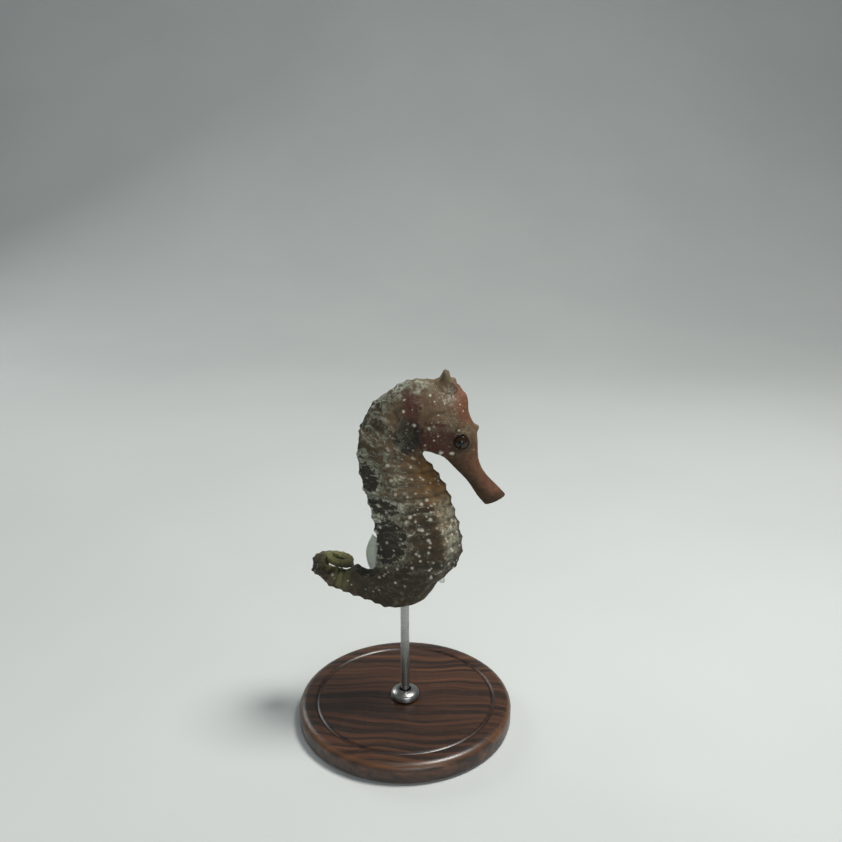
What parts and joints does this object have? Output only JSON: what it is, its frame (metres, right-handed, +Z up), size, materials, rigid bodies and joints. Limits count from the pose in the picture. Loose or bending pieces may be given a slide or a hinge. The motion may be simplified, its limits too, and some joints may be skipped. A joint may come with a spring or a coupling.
{
  "type": "seahorse model",
  "caption": "Life-size still model of a swimming spotted seahorse with a bent neck, ringed trunk, brood pouch and coiled tail, held on a round display stand.",
  "frame": {"origin": "centre of the display stand's underside", "axes": "+X the way the animal faces, +Y its left side, +Z up"},
  "size_m": [0.06, 0.06, 0.1028],
  "materials": {
    "skin": "matt skin stretched over bony plates",
    "fin": "thin translucent membrane on fine rays",
    "eye": "wet gloss",
    "stand_wood": "dark stained, satin",
    "stand_metal": "brushed"
  },
  "bodies": {
    "root": {"snout": "skin", "head": "skin", "eye_right": "eye", "eye_left": "eye", "gill_cover_right": "skin", "gill_cover_left": "skin", "coronet": "skin", "neck": "skin", "trunk_upper": "skin", "trunk_middle": "skin", "trunk_lower": "skin", "brood_pouch": "skin", "tail_root": "skin", "tail_1": "skin", "tail_2": "skin", "tail_3": "skin", "tail_4": "skin", "tail_5": "skin", "tail_6": "skin", "dorsal_fin": "fin", "anal_fin": "fin", "pectoral_fin_right": "fin", "pectoral_fin_left": "fin", "stand_base": "stand_wood", "stand_collar": "stand_metal", "stand_rod": "stand_metal"}
  },
  "joints": []
}
